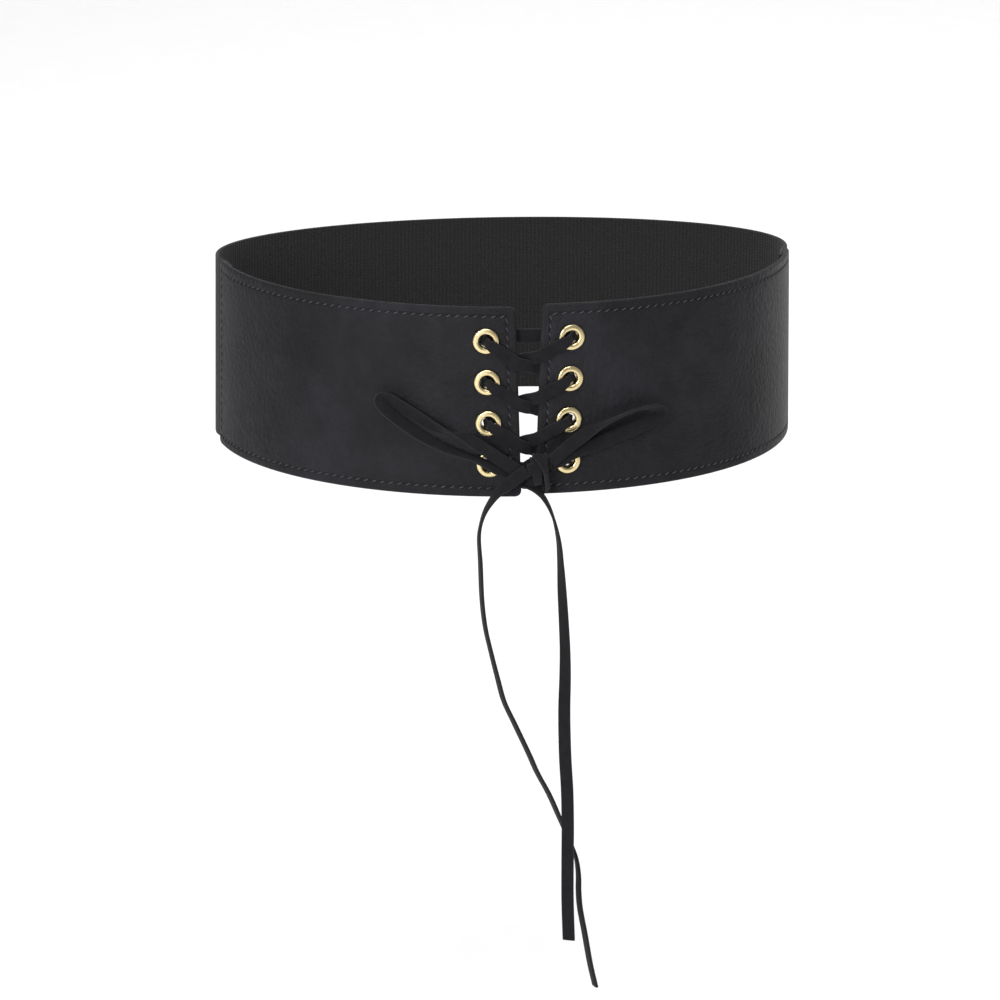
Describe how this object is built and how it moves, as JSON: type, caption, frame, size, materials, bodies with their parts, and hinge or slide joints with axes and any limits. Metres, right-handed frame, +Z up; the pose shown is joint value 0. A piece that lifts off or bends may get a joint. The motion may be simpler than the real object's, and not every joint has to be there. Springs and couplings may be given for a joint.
{
  "type": "corset belt",
  "caption": "Waist-cinching belt of two stitched leather panels, laced across the front through metal eyelets and tied in a bow with long hanging ends, with a plain elastic back.",
  "frame": {"origin": "Middle of the waist opening at half the belt's height, where the body would be.", "axes": "+Z up along the body, the laced front faces -Y, +X to the right of someone looking at the front."},
  "size_m": [0.275, 0.2124, 0.329],
  "materials": {
    "leather": "smooth charcoal-black faux leather with a faint fine grain and a soft sheen",
    "elastic": "matt black woven elastic",
    "lace": "matt black flat faux-suede lace",
    "brass": "polished pale gold plate"
  },
  "bodies": {
    "root": {"panel_left": "leather", "panel_right": "leather", "eyelet_left_1": "brass", "eyelet_left_2": "brass", "eyelet_left_3": "brass", "eyelet_left_4": "brass", "eyelet_right_1": "brass", "eyelet_right_2": "brass", "eyelet_right_3": "brass", "eyelet_right_4": "brass", "back_band": "elastic", "lace": "lace", "bow_knot": "lace", "bow_loop_left": "lace", "bow_loop_right": "lace", "lace_tail_left": "lace", "lace_tail_right": "lace"}
  },
  "joints": []
}
